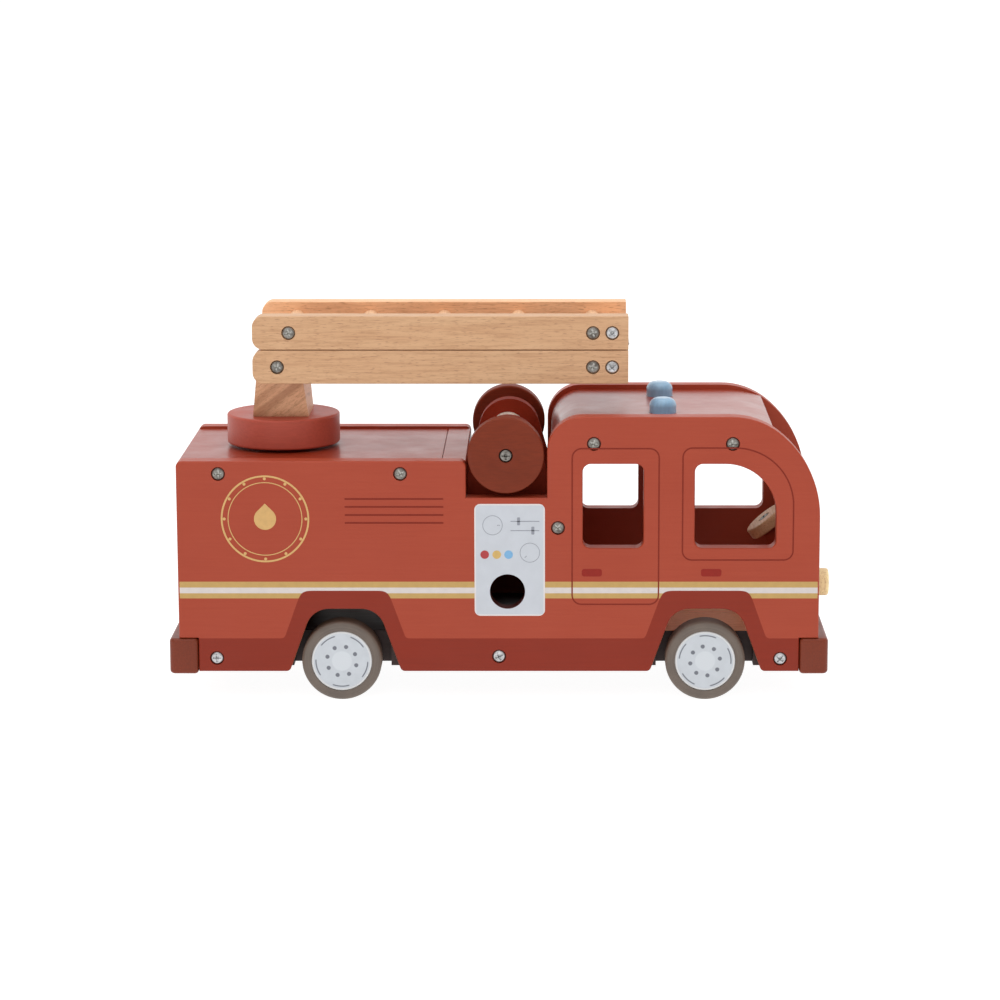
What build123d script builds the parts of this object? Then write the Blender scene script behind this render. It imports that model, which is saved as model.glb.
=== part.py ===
from build123d import *
import math
import os

os.makedirs("parts", exist_ok=True)

# Toy fire engine, in millimetres. +X is the front, +Z is up, the floor is at Z = 0 and the
# origin is under the middle of the vehicle. The right-hand side is at -Y.

# ---- driving dimensions ----
body_length = 320.0
body_width = 115.0
panel_thickness = 9.0
panel_bottom = 15.0
rear_top = 122.0
cab_top = 144.2
edge_round = 0.9
joint_gap = 0.05

notch_rear = -16.2
notch_front = 24.2
notch_bottom = 103.5
notch_round = 3.0

cab_rear_round = 17.5
cab_brow_radius = 38.0
cab_brow_turn = 38.0
cab_nose_radius = 54.0

window_bottom = 78.0
window_top = 120.5
window_round = 4.0
rear_window_span = (41.9, 72.2)
front_window_span = (97.6, 138.2)
front_window_curve = 25.5

wheel_centres = {"rear": -78.8, "front": 103.4}
arch_centres = (-76.8, 103.6)
arch_foot_half = 28.0
arch_head_half = 16.4
arch_top = 47.0
arch_round = 12.0
arch_foot_round = 2.5

wheel_radius = 20.0
wheel_width = 14.0
wheel_face_y = 56.5
tyre_wall_radius = 15.3
tyre_round = 2.2
hub_depth = 12.5
hub_recess = 0.5
axle_radius = 2.5
axle_half = 52.5
running_gap = 0.06
bush_radius = 3.8
bush_span = (27.0, 39.0)
spacer_span = (39.4, 42.0)
spacer_radius = 5.0
wheel_well_half = 24.5
wheel_well_y = 39.2

base_bottom = 16.0
base_top = 32.0
base_half_length = 150.55

bumper_half_length = 165.0
bumper_depth = 14.4
bumper_half_width = 58.0
bumper_bottom = 13.7
bumper_top = 31.9
bumper_round = 3.0
bumper_inner_round = 2.2
bumper_edge_round = 1.8

wall_outer_x = 158.5
rear_outer_x = 159.6
board = 9.0
deck_top = 120.7
deck_thickness = 10.0
bulkhead_thickness = 12.0
bay_floor_top = 92.5
cab_wall_rear = 26.2
front_wall_top = 98.5

roof_top = 141.7
roof_thickness = 14.0
roof_rear_round = 15.5
roof_brow_start = 118.0
roof_brow_end = (136.3, 138.2)
roof_front_foot = 133.0

hose_hole_x = 4.4
hose_hole_z = 56.0
hose_hole_radius = 8.8

reel_x = 3.7
reel_z = 124.7
reel_disc_radius = 19.0
reel_disc_span = (47.6, 57.5)
reel_spindle_radius = 8.8
bracket_x = 4.4
bracket_span = (25.0, 34.0)
bracket_head_radius = 15.6
bracket_half = 20.3
bracket_slope = 16.0

beacon_x = 82.4
beacon_y = 27.0
beacon_radius = 6.8
beacon_height = 7.6
headlight_y = 41.0
headlight_z = 57.5
headlight_radius = 6.9
headlight_depth = 7.2

steering_centre = (136.7, 18.0, 79.3)
steering_tilt = 38.8
steering_radius = 11.4
steering_thickness = 6.0
steering_bore = 1.56
steering_block_half = 8.0
steering_block_reach = 5.0
steering_block_bottom = 64.0

turntable_x = -110.8
turntable_radius = 28.7
turntable_bottom = 122.3
turntable_top = 137.7
turntable_round = 1.2
turntable_bolt_radius = 3.0
turntable_bolt_top = 150.0

ladder_rear = -123.1
ladder_front = 64.8
ladder_half_width = 35.0
rail_thickness = 12.0
rail_height = 16.8
rail_gap = 0.4
rail_round = 5.5
lower_rail_bottom = 157.3
rung_radius = 4.3
rung_pitch = 38.0
front_rung_x = 47.1
rung_bite = 6.0
block_foot = (28.3, 32.0)
block_head = (23.6, 45.2)
block_shoulder = 157.0

end_block_span = (52.4, 62.6)
end_block_inset = 1.15
end_bolt_x = 56.7
hinge_offset = 0.2
hinge_leaf = 0.5
hinge_leaf_gap = 0.35
hinge_radius = 0.8
hinge_pin_radius = 0.4
hinge_half = 11.0
hinge_centre_half = 3.7

screw_head_radius = 3.2
screw_head_height = 2.0
screw_shank_radius = 1.5
recess_radius = 3.5
recess_depth = 2.3
panel_screw_length = 22.0
upper_screws = ((-139.0, 115.6), (-48.7, 115.6), (29.6, 88.3), (47.4, 130.7), (116.2, 130.7))
lower_screws = ((-141.2, 21.9), (0.1, 22.7), (140.9, 21.5))

# ---- worked out from them ----
half_length = body_length / 2
outer_y = body_width / 2
inner_y = outer_y - panel_thickness
fill_y = inner_y - joint_gap
rail_inner_y = ladder_half_width - rail_thickness
lower_rail_z = lower_rail_bottom + rail_height / 2
upper_rail_bottom = lower_rail_bottom + rail_height + rail_gap
upper_rail_z = upper_rail_bottom + rail_height / 2
hinge_x = ladder_front + hinge_offset
hinge_z = upper_rail_bottom - rail_gap / 2
sides = {"right": -1, "left": 1}


# ---- helpers ----
def along_y(profile, y_low, y_high):
    """A profile drawn in X and Z, as a solid from y_low to y_high."""
    return extrude(Plane.XZ.offset(-y_high) * profile, amount=y_high - y_low)


def rod_y(x, z, radius, y_low, y_high):
    return along_y(Pos(x, z) * Circle(radius), y_low, y_high)


def box(x_low, x_high, y_low, y_high, z_low, z_high):
    centre = ((x_low + x_high) / 2, (y_low + y_high) / 2, (z_low + z_high) / 2)
    return Pos(*centre) * Box(x_high - x_low, y_high - y_low, z_high - z_low)


def both_sides(y_low, y_high, side):
    """The span y_low to y_high, mirrored for the right-hand side."""
    return (y_low, y_high) if side > 0 else (-y_high, -y_low)


def cross_slot(width, reach, depth):
    """The recess of a cross-head screw, opening at Z = 0."""
    slot = Box(reach, width, depth * 2) + Box(width, reach, depth * 2)
    return slot + Pos(0, 0, -depth) * Cone(width * 0.55, width * 1.1, depth * 2)


def screw(length, shank_radius=screw_shank_radius, head_radius=screw_head_radius, turn=0.0):
    """A cross-head screw along Z, with the top of its head at Z = 0."""
    head = Pos(0, 0, -screw_head_height / 2) * Cylinder(head_radius, screw_head_height)
    head = fillet(head.edges().group_by(Axis.Z)[-1], screw_head_height * 0.55)
    shank_length = length - screw_head_height
    shank = Pos(0, 0, -screw_head_height - shank_length / 2) * Cylinder(shank_radius, shank_length)
    shank = chamfer(shank.edges().group_by(Axis.Z)[0], shank_radius * 0.6)
    return (head + shank) - Rot(0, 0, turn) * cross_slot(0.95, 4.2, 1.2)


def screw_in_y(x, z, head_y, length, turn=0.0, **sizes):
    """A screw driven inwards along Y, with its head at head_y, on either side."""
    tip = Rot(90, 0, 0) if head_y < 0 else Rot(-90, 0, 0)
    return Pos(x, head_y, z) * tip * screw(length, turn=turn, **sizes)


def screw_hole_y(x, z, face_y, length, shank_radius=screw_shank_radius):
    """What a recessed screw takes out of the pieces that it goes through."""
    into = -1 if face_y > 0 else 1
    floor_y = face_y + into * recess_depth
    tip_y = face_y + into * (length + 1.0)
    out_y = face_y - into
    head = rod_y(x, z, recess_radius, min(out_y, floor_y), max(out_y, floor_y))
    low, high = min(out_y, tip_y), max(out_y, tip_y)
    return head + rod_y(x, z, shank_radius + joint_gap, low, high)


def rounded(solid, face_axis, which, radius):
    """Rounds the edges of the face at one end of the solid."""
    return fillet(solid.faces().sort_by(face_axis)[which].edges(), radius)


def put(name, *solids):
    """Writes one node, a single solid or a group of separate ones."""
    shape = solids[0] if len(solids) == 1 else Compound(children=list(solids))
    export_step(shape, "parts/" + name + ".step")


# ---- side panels ----
def panel_outline():
    """The outline of a side: low rear body, notch for the hose reel, round-nosed cab."""
    brow = math.radians(cab_brow_turn)
    brow_run = cab_brow_radius * math.sin(brow)
    nose_run = cab_nose_radius * (1 - math.sin(brow))
    brow_start = half_length - brow_run - nose_run
    tangent = (math.cos(brow), -math.sin(brow))
    foot = (-half_length, panel_bottom)
    rear = Polyline(foot, (-half_length, rear_top - notch_round))
    rear_corner = JernArc(rear @ 1, (0, 1), notch_round, -90)
    deck_line = Line(rear_corner @ 1, (notch_rear - notch_round, rear_top))
    notch_corner = JernArc(deck_line @ 1, (1, 0), notch_round, -90)
    notch = Polyline(
        notch_corner @ 1,
        (notch_rear, notch_bottom),
        (notch_front, notch_bottom),
        (notch_front, cab_top - cab_rear_round),
    )
    cab_corner = JernArc(notch @ 1, (0, 1), cab_rear_round, -90)
    roof_line = Line(cab_corner @ 1, (brow_start, cab_top))
    brow_arc = JernArc(roof_line @ 1, (1, 0), cab_brow_radius, -cab_brow_turn)
    nose_arc = JernArc(brow_arc @ 1, tangent, cab_nose_radius, cab_brow_turn - 90)
    front = Polyline(nose_arc @ 1, (half_length, panel_bottom), foot)
    return make_face([rear, rear_corner, deck_line, notch_corner, notch, cab_corner,
                      roof_line, brow_arc, nose_arc, front])


def rounded_rectangle(x_low, x_high, z_low, z_high, radius):
    shape = RectangleRounded(x_high - x_low, z_high - z_low, radius)
    return Pos((x_low + x_high) / 2, (z_low + z_high) / 2) * shape


def front_window():
    """A window whose upper front corner follows the round nose of the cab."""
    x_low, x_high = front_window_span
    centre = (x_high - front_window_curve, window_top - front_window_curve)
    whole = rounded_rectangle(x_low, x_high, window_bottom, window_top, window_round)
    corner_size = front_window_curve
    square = Pos(centre[0] + corner_size / 2, centre[1] + corner_size / 2)
    corner = square * Rectangle(corner_size, corner_size)
    return (whole - corner) + (corner & Pos(*centre) * Circle(front_window_curve))


def wheel_arch(centre):
    slope = (arch_foot_half - arch_head_half) / (arch_top - panel_bottom)
    below = 5.0
    foot = arch_foot_half + slope * below
    foot_z = panel_bottom - below
    shape = make_face(Polyline(
        (centre - foot, foot_z),
        (centre - arch_head_half, arch_top),
        (centre + arch_head_half, arch_top),
        (centre + foot, foot_z),
        close=True,
    ))
    return fillet(shape.vertices().group_by(Axis.Y)[-1], arch_round)


def bumper_notch(end):
    inner = bumper_half_length - bumper_depth - 0.3
    x_low, x_high = sorted((end * inner, end * (half_length + 5)))
    height = bumper_top + 0.2 - (panel_bottom - 5)
    centre = ((x_low + x_high) / 2, bumper_top + 0.2 - height / 2)
    return Pos(*centre) * Rectangle(x_high - x_low, height)


def right_side_panel():
    face = panel_outline()
    face -= rounded_rectangle(*rear_window_span, window_bottom, window_top, window_round)
    face -= front_window()
    face -= Pos(hose_hole_x, hose_hole_z) * Circle(hose_hole_radius)
    for centre in arch_centres:
        face -= wheel_arch(centre)
    feet = [corner for corner in face.vertices() if abs(corner.Y - panel_bottom) < joint_gap]
    arch_reach = max(arch_centres) + arch_foot_half + arch_foot_round
    face = fillet([corner for corner in feet if abs(corner.X) < arch_reach], arch_foot_round)
    for end in (-1, 1):
        face -= bumper_notch(end)
    panel = along_y(face, -outer_y, -inner_y)
    panel = rounded(panel, Axis.Y, 0, edge_round)
    for x, z in upper_screws + lower_screws:
        panel -= screw_hole_y(x, z, -outer_y, panel_screw_length)
    return panel


def side_holes(piece):
    """Takes the panel screws' pilot holes out of a board between the panels."""
    size = piece.bounding_box()
    for x, z in upper_screws + lower_screws:
        if size.min.X < x < size.max.X and size.min.Z < z < size.max.Z:
            for side in sides.values():
                piece -= screw_hole_y(x, z, side * outer_y, panel_screw_length)
    return piece


# ---- boards of the body ----
def base_board():
    plank = box(-base_half_length, base_half_length, -fill_y, fill_y, base_bottom, base_top)
    for wheel_x in wheel_centres.values():
        x_low, x_high = wheel_x - wheel_well_half, wheel_x + wheel_well_half
        for side in sides.values():
            y_low, y_high = both_sides(wheel_well_y, outer_y, side)
            plank -= box(x_low, x_high, y_low, y_high, base_bottom - 1, base_top + 1)
            y_low, y_high = both_sides(bush_span[0], wheel_well_y + 1, side)
            plank -= rod_y(wheel_x, wheel_radius, bush_radius + joint_gap / 2, y_low, y_high)
        bore = axle_radius + 0.7
        plank -= rod_y(wheel_x, wheel_radius, bore, -wheel_well_y, wheel_well_y)
    return side_holes(plank)


def rear_wall():
    return box(-rear_outer_x, -rear_outer_x + board, -fill_y, fill_y,
               base_top + joint_gap, deck_top - deck_thickness - joint_gap)


def rear_deck():
    deck = box(-rear_outer_x, notch_rear - bulkhead_thickness - 0.15, -fill_y, fill_y,
               deck_top - deck_thickness, deck_top)
    deck = rounded(deck, Axis.Z, -1, 0.4)
    bore = turntable_bolt_radius + running_gap
    deck -= Pos(turntable_x, 0, deck_top) * Cylinder(bore, deck_thickness * 3)
    return side_holes(deck)


def bay_bulkhead():
    wall = box(notch_rear - bulkhead_thickness, notch_rear, -fill_y, fill_y,
               base_top + joint_gap, deck_top + 0.2)
    return rounded(wall, Axis.Z, -1, 0.6)


def bay_floor():
    return box(notch_rear + joint_gap, cab_wall_rear - joint_gap, -fill_y, fill_y,
               bay_floor_top - board, bay_floor_top)


def cab_rear_wall():
    wall = box(cab_wall_rear, cab_wall_rear + board, -fill_y, fill_y,
               base_top + joint_gap, roof_top - roof_thickness - joint_gap)
    return side_holes(wall)


def cab_roof():
    """The roof board: round at the rear, bent down over the windscreen at the front."""
    roof_bottom = roof_top - roof_thickness
    rise = roof_rear_round - roof_thickness
    rear_turn = math.degrees(math.acos(-rise / roof_rear_round)) if rise < 0 else 90.0
    corner_foot = (cab_wall_rear, roof_top - roof_rear_round)
    corner = JernArc(corner_foot, (0, 1), roof_rear_round, -rear_turn)
    top = Line(corner @ 1, (roof_brow_start, roof_top))
    run = roof_brow_end[0] - roof_brow_start
    fall = roof_top - roof_brow_end[1]
    brow_radius = (run * run + fall * fall) / (2 * fall)
    brow_turn = math.degrees(math.asin(run / brow_radius))
    brow = JernArc(top @ 1, (1, 0), brow_radius, -brow_turn)
    under = Polyline(brow @ 1, (roof_front_foot, roof_bottom), (cab_wall_rear, roof_bottom))
    tail = Line(under @ 1, corner_foot)
    profile = make_face([corner, top, brow, under, tail])
    profile &= Pos(half_length / 2, roof_bottom + 50) * Rectangle(half_length * 2, 100)
    return side_holes(along_y(profile, -fill_y, fill_y))


def front_wall():
    wall = box(wall_outer_x - board, wall_outer_x, -fill_y, fill_y,
               base_top + joint_gap, front_wall_top)
    return rounded(wall, Axis.Z, -1, 1.0)


def bumper(end):
    x_low, x_high = sorted((end * (bumper_half_length - bumper_depth), end * bumper_half_length))
    bar = box(x_low, x_high, -bumper_half_width, bumper_half_width, bumper_bottom, bumper_top)
    outer = bar.edges().filter_by(Axis.Z).group_by(Axis.X)[-1 if end > 0 else 0]
    bar = fillet(outer, bumper_round)
    inner = bar.edges().filter_by(Axis.Z).group_by(Axis.X)[0 if end > 0 else -1]
    bar = fillet(inner, bumper_inner_round)
    level = bar.faces().sort_by(Axis.Z)
    return fillet(level[0].edges() + level[-1].edges(), bumper_edge_round)


# ---- small pieces on the body ----
def beacon(side):
    lamp = Pos(beacon_x, side * beacon_y, roof_top + beacon_height / 2)
    lamp = lamp * Cylinder(beacon_radius, beacon_height)
    return fillet(lamp.edges().group_by(Axis.Z)[-1], beacon_radius * 0.62)


def headlight(side):
    disc = Rot(0, 90, 0) * Cylinder(headlight_radius, headlight_depth)
    disc = Pos(wall_outer_x + headlight_depth / 2, side * headlight_y, headlight_z) * disc
    return fillet(disc.edges().group_by(Axis.X)[-1], 1.3)


def reel_bracket(side):
    """A trapezium board with a round head, drilled for the reel's spindle."""
    slope = math.radians(bracket_slope)
    head_half = bracket_head_radius * math.cos(slope)
    head_z = reel_z + bracket_head_radius * math.sin(slope)
    knee_z = head_z - (bracket_half - head_half) / math.tan(slope)
    outline = make_face(Polyline(
        (bracket_x - bracket_half, bay_floor_top),
        (bracket_x - bracket_half, knee_z),
        (bracket_x - head_half, head_z),
        (bracket_x + head_half, head_z),
        (bracket_x + bracket_half, knee_z),
        (bracket_x + bracket_half, bay_floor_top),
        close=True,
    ))
    outline += Pos(bracket_x, reel_z) * Circle(bracket_head_radius)
    outline -= Pos(reel_x, reel_z) * Circle(reel_spindle_radius + running_gap)
    return along_y(outline, *both_sides(*bracket_span, side))


def tilted(solid):
    """Moves a solid built along Z onto the steering wheel's sloping axis."""
    return Pos(*steering_centre) * Rot(0, -steering_tilt, 0) * solid


def steering_wheel():
    disc = Pos(0, 0, -steering_thickness / 2) * Cylinder(steering_radius, steering_thickness)
    disc = fillet(disc.edges().group_by(Axis.Z)[-1] + disc.edges().group_by(Axis.Z)[0], 1.0)
    disc -= Pos(0, 0, -recess_depth / 2) * Cylinder(recess_radius, recess_depth)
    disc -= Pos(0, 0, -steering_thickness / 2) * Cylinder(steering_bore, steering_thickness + 2)
    return tilted(disc)


def steering_screw():
    return tilted(Pos(0, 0, 0.1) * screw(17.0, head_radius=screw_head_radius - 0.05))


def steering_block():
    """A wedge on the inside of the front wall that carries the steering wheel."""
    tilt = math.radians(steering_tilt)
    drop = steering_thickness + 0.35
    seat_x = steering_centre[0] + drop * math.sin(tilt)
    seat_z = steering_centre[2] - drop * math.cos(tilt)
    rise = math.tan(tilt)
    low_x = seat_x - steering_block_reach * math.cos(tilt)
    wall_x = wall_outer_x - board
    wedge = make_face(Polyline(
        (low_x, seat_z - (seat_x - low_x) * rise),
        (wall_x, seat_z + (wall_x - seat_x) * rise),
        (wall_x, steering_block_bottom),
        (low_x + 3, steering_block_bottom),
        close=True,
    ))
    y_low, y_high = steering_centre[1] - steering_block_half, steering_centre[1] + steering_block_half
    wedge = along_y(wedge, y_low, y_high)
    return wedge - tilted(Pos(0, 0, -9) * Cylinder(screw_shank_radius + joint_gap, 18.0))


# ---- wheels and axles ----
def tyre(wheel_x, side):
    inner_face = wheel_face_y - wheel_width
    y_low, y_high = both_sides(inner_face, wheel_face_y, side)
    ring = rod_y(wheel_x, wheel_radius, wheel_radius, y_low, y_high)
    ring = fillet(ring.edges(), tyre_round)
    y_low, y_high = both_sides(wheel_face_y - hub_depth, wheel_face_y + 1, side)
    ring -= rod_y(wheel_x, wheel_radius, tyre_wall_radius, y_low, y_high)
    y_low, y_high = both_sides(inner_face - 1, wheel_face_y, side)
    return ring - rod_y(wheel_x, wheel_radius, axle_radius + joint_gap, y_low, y_high)


def hub(wheel_x, side):
    back, face = wheel_face_y - hub_depth, wheel_face_y - hub_recess
    disc = rod_y(wheel_x, wheel_radius, tyre_wall_radius - joint_gap, *both_sides(back, face, side))
    disc = fillet(disc.edges().sort_by(Axis.Y)[-1 if side > 0 else 0], 0.5)
    socket = both_sides(back - 1, axle_half, side)
    return disc - rod_y(wheel_x, wheel_radius, axle_radius + joint_gap, *socket)


def axle(wheel_x):
    rod = rod_y(wheel_x, wheel_radius, axle_radius, -axle_half, axle_half)
    return chamfer(rod.edges(), 0.4)


def axle_ring(wheel_x, side, outer_radius, span):
    y_low, y_high = both_sides(*span, side)
    ring = rod_y(wheel_x, wheel_radius, outer_radius, y_low, y_high)
    return ring - rod_y(wheel_x, wheel_radius, axle_radius + running_gap, y_low - 1, y_high + 1)


# ---- hose reel ----
def reel_spindle():
    reach = reel_disc_span[0]
    rod = rod_y(reel_x, reel_z, reel_spindle_radius, -reach, reach)
    for side in sides.values():
        rod -= screw_hole_y(reel_x, reel_z, side * reel_disc_span[1], 20.0)
    return rod


def reel_disc(side):
    disc = rod_y(reel_x, reel_z, reel_disc_radius, *both_sides(*reel_disc_span, side))
    disc = fillet(disc.edges(), 1.1)
    return disc - screw_hole_y(reel_x, reel_z, side * reel_disc_span[1], 20.0)


# ---- turntable ----
def turntable_disc():
    height = turntable_top - turntable_bottom
    disc = Pos(turntable_x, 0, turntable_bottom + height / 2) * Cylinder(turntable_radius, height)
    disc = fillet(disc.edges(), turntable_round)
    bore = turntable_bolt_radius + joint_gap
    return disc - Pos(turntable_x, 0, turntable_bottom) * Cylinder(bore, height * 3)


def turntable_bolt():
    """A hexagon-head bolt from under the deck, up through the disc into the ladder block."""
    head_top = deck_top - deck_thickness - 1.6
    head_height = 4.0
    length = turntable_bolt_top - head_top
    shank = Pos(0, 0, head_top + length / 2) * Cylinder(turntable_bolt_radius, length)
    head = extrude(Pos(0, 0, head_top - head_height) * RegularPolygon(5.6, 6), head_height)
    return Pos(turntable_x, 0, 0) * (chamfer(shank.edges().group_by(Axis.Z)[-1], 0.6) + head)


def washer(radius, bore, z_low, z_high):
    height = z_high - z_low
    ring = Cylinder(radius, height) - Cylinder(bore, height + 2)
    return Pos(turntable_x, 0, z_low + height / 2) * ring


def ladder_block():
    """The wooden post: narrow and deep at its foot, as wide as the rails allow at its head."""
    foot = Pos(turntable_x, 0, turntable_top) * Rectangle(*block_foot)
    shoulder = Pos(turntable_x, 0, block_shoulder) * Rectangle(*block_head)
    post = loft([foot, shoulder])
    half_x, half_y = block_head[0] / 2, block_head[1] / 2
    post += box(turntable_x - half_x, turntable_x + half_x, -half_y, half_y,
                block_shoulder, lower_rail_z)
    post += rod_y(turntable_x, lower_rail_z, half_x, -half_y, half_y)
    post -= Pos(turntable_x, 0, turntable_top) * Cylinder(
        turntable_bolt_radius + joint_gap, 2 * (turntable_bolt_top - turntable_top + 1))
    for side in sides.values():
        y_low, y_high = both_sides(half_y - 12, half_y + 1, side)
        post -= rod_y(turntable_x, lower_rail_z, 2.0 + joint_gap, y_low, y_high)
    return post


def pivot_screw(side):
    head_y = side * ladder_half_width
    return screw_in_y(turntable_x, lower_rail_z, head_y, 23.0, turn=20.0 * side,
                      shank_radius=2.0, head_radius=screw_head_radius - 0.05)


# ---- ladder ----
def rung_xs(count):
    return [front_rung_x - step * rung_pitch for step in range(count)]


def rail(side, z_low, rungs, screwed, pivot):
    """One rail: round at the turntable end, square at the hinge end."""
    x_mid = (ladder_rear + ladder_front) / 2
    shape = Rectangle(ladder_front - ladder_rear, rail_height)
    shape = fillet(shape.vertices().group_by(Axis.X)[0], rail_round)
    shape = fillet(shape.vertices().group_by(Axis.X)[-1], 0.5)
    shape = Pos(x_mid, z_low + rail_height / 2) * shape
    bar = along_y(shape, *both_sides(rail_inner_y, ladder_half_width, side))
    long_edges = bar.faces().sort_by(Axis.Y)[0].edges() + bar.faces().sort_by(Axis.Y)[-1].edges()
    bar = fillet(long_edges, 0.45)
    mid_z = z_low + rail_height / 2
    for x in rungs:
        socket = both_sides(rail_inner_y - 1, rail_inner_y + rung_bite, side)
        bar -= rod_y(x, mid_z, rung_radius, *socket)
    for x in screwed:
        bar -= screw_hole_y(x, mid_z, side * ladder_half_width, 20.0)
    if pivot:
        outside = side * ladder_half_width
        bar -= screw_hole_y(turntable_x, mid_z, outside, 23.0, shank_radius=2.0 + running_gap - joint_gap)
    return bar


def rung(x, z, screwed):
    half = rail_inner_y + rung_bite - 0.1
    rod = rod_y(x, z, rung_radius - joint_gap, -half, half)
    if screwed:
        for side in sides.values():
            rod -= screw_hole_y(x, z, side * ladder_half_width, 20.0)
    return rod


def end_block(direction):
    """A cross block between the ends of two rails; direction is +1 above the hinge, -1 below."""
    near = hinge_z + direction * end_block_inset
    far = (upper_rail_z if direction > 0 else lower_rail_z) + direction * 2.6
    z_low, z_high = sorted((near, far))
    inside = rail_inner_y - joint_gap
    block = box(*end_block_span, -inside, inside, z_low, z_high)
    rail_z = upper_rail_z if direction > 0 else lower_rail_z
    for side in sides.values():
        block -= screw_hole_y(end_bolt_x, rail_z, side * ladder_half_width, 20.0)
    return block


def hinge_leaf_plate(direction):
    """One leaf of the steel hinge, with its share of the knuckle."""
    z_low, z_high = sorted((hinge_z + direction * hinge_leaf_gap,
                            hinge_z + direction * (hinge_leaf_gap + hinge_leaf)))
    clear_x = hinge_x - hinge_radius - 0.3
    plate = box(end_block_span[0] + 1, clear_x, -hinge_half, hinge_half, z_low, z_high)
    middle = (-hinge_centre_half + 0.15, hinge_centre_half - 0.15)
    outer = [(hinge_centre_half + 0.15, hinge_half), (-hinge_half, -hinge_centre_half - 0.15)]
    for y_low, y_high in ([middle] if direction > 0 else outer):
        plate += box(clear_x - 0.5, hinge_x, y_low, y_high, z_low, z_high)
        plate += rod_y(hinge_x, hinge_z, hinge_radius, y_low, y_high)
    return plate - rod_y(hinge_x, hinge_z, hinge_pin_radius + 0.05, -hinge_half - 1, hinge_half + 1)


def write_body():
    right = right_side_panel()
    put("right_side_panel", right)
    put("left_side_panel", mirror(right, about=Plane.XZ))
    put("base_board", base_board())
    put("rear_wall", rear_wall())
    put("rear_deck", rear_deck())
    put("bay_bulkhead", bay_bulkhead())
    put("bay_floor", bay_floor())
    put("cab_rear_wall", cab_rear_wall())
    put("cab_roof", cab_roof())
    put("front_wall", front_wall())
    put("rear_bumper", bumper(-1))
    put("front_bumper", bumper(1))
    put("steering_block", steering_block())
    put("steering_wheel", steering_wheel())
    put("steering_screw", steering_screw())
    for name, side in sides.items():
        put(name + "_beacon", beacon(side))
        put(name + "_headlight", headlight(side))
        put(name + "_reel_bracket", reel_bracket(side))
    for name, places in (("upper_panel_screws", upper_screws), ("lower_panel_screws", lower_screws)):
        head_y = outer_y - 0.25
        put(name, *[screw_in_y(x, z, side * head_y, panel_screw_length - 1, turn=25.0 * number)
                    for number, (x, z) in enumerate(places) for side in sides.values()])


def write_wheels():
    bushes = []
    spacers = []
    for end, wheel_x in wheel_centres.items():
        put(end + "_axle", axle(wheel_x))
        for name, side in sides.items():
            put(end + "_" + name + "_tyre", tyre(wheel_x, side))
            put(end + "_" + name + "_hub", hub(wheel_x, side))
            bushes.append(axle_ring(wheel_x, side, bush_radius, bush_span))
            spacers.append(axle_ring(wheel_x, side, spacer_radius, spacer_span))
    put("axle_bushes", *bushes)
    put("axle_spacers", *spacers)


def write_reel():
    put("reel_spindle", reel_spindle())
    for name, side in sides.items():
        put(name + "_reel_disc", reel_disc(side))
    head_y = reel_disc_span[1] - 0.25
    put("reel_screws", *[screw_in_y(reel_x, reel_z, side * head_y, 19.0) for side in sides.values()])


def write_turntable():
    deck_bottom = deck_top - deck_thickness
    put("turntable_disc", turntable_disc())
    put("turntable_bolt", turntable_bolt())
    put("turntable_washer", washer(13.0, turntable_bolt_radius + 0.4, deck_top, turntable_bottom - 0.35))
    put("bolt_washer", washer(7.0, turntable_bolt_radius + joint_gap, deck_bottom - 1.6, deck_bottom - 0.35))
    put("ladder_block", ladder_block())
    put("ladder_pivot_screws", *[pivot_screw(side) for side in sides.values()])


def write_ladder_section(section, z_low, count, direction):
    mid_z = z_low + rail_height / 2
    xs = rung_xs(count)
    screwed = [xs[0]] if direction < 0 else [xs[0], xs[-1]]
    for name, side in sides.items():
        bar = rail(side, z_low, xs, screwed + [end_bolt_x], direction < 0)
        put(section + "_" + name + "_rail", bar)
    put(section + "_rungs", *[rung(x, mid_z, x in screwed) for x in xs])
    head_y = ladder_half_width - 0.2
    put(section + "_rung_screws", *[screw_in_y(x, mid_z, side * head_y, 19.0, turn=15.0 * direction)
                                    for x in screwed for side in sides.values()])
    put(section + "_end_bolts", *[screw_in_y(end_bolt_x, mid_z, side * head_y, 19.0, turn=40.0)
                                  for side in sides.values()])
    put(section + "_end_block", end_block(direction))
    put(section + "_hinge_leaf", hinge_leaf_plate(direction))


def write_ladder():
    write_ladder_section("lower", lower_rail_bottom, 4, -1)
    write_ladder_section("upper", upper_rail_bottom, 5, 1)
    put("hinge_pin", rod_y(hinge_x, hinge_z, hinge_pin_radius, -hinge_half, hinge_half))


write_body()
write_wheels()
write_reel()
write_turntable()
write_ladder()
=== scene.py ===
import bpy
import math
from mathutils import Matrix


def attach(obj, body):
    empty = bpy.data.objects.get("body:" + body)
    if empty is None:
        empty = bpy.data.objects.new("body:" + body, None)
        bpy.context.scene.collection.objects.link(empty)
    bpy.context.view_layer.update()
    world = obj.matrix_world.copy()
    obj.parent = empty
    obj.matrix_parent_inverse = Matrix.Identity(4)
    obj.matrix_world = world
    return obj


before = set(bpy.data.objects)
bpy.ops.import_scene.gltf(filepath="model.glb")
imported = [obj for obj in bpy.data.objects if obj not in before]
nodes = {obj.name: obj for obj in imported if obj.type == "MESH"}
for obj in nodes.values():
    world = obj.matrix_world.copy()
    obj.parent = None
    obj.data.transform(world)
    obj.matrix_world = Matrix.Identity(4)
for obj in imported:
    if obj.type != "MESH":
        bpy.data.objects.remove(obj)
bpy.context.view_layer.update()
mm = 0.001
print("frame loaded:", len(nodes), "nodes")


# small helpers for objects
def deselectAll():
    if bpy.context.object and bpy.context.object.mode != "OBJECT":
        bpy.ops.object.mode_set(mode="OBJECT")
    bpy.ops.object.select_all(action="DESELECT")


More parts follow.
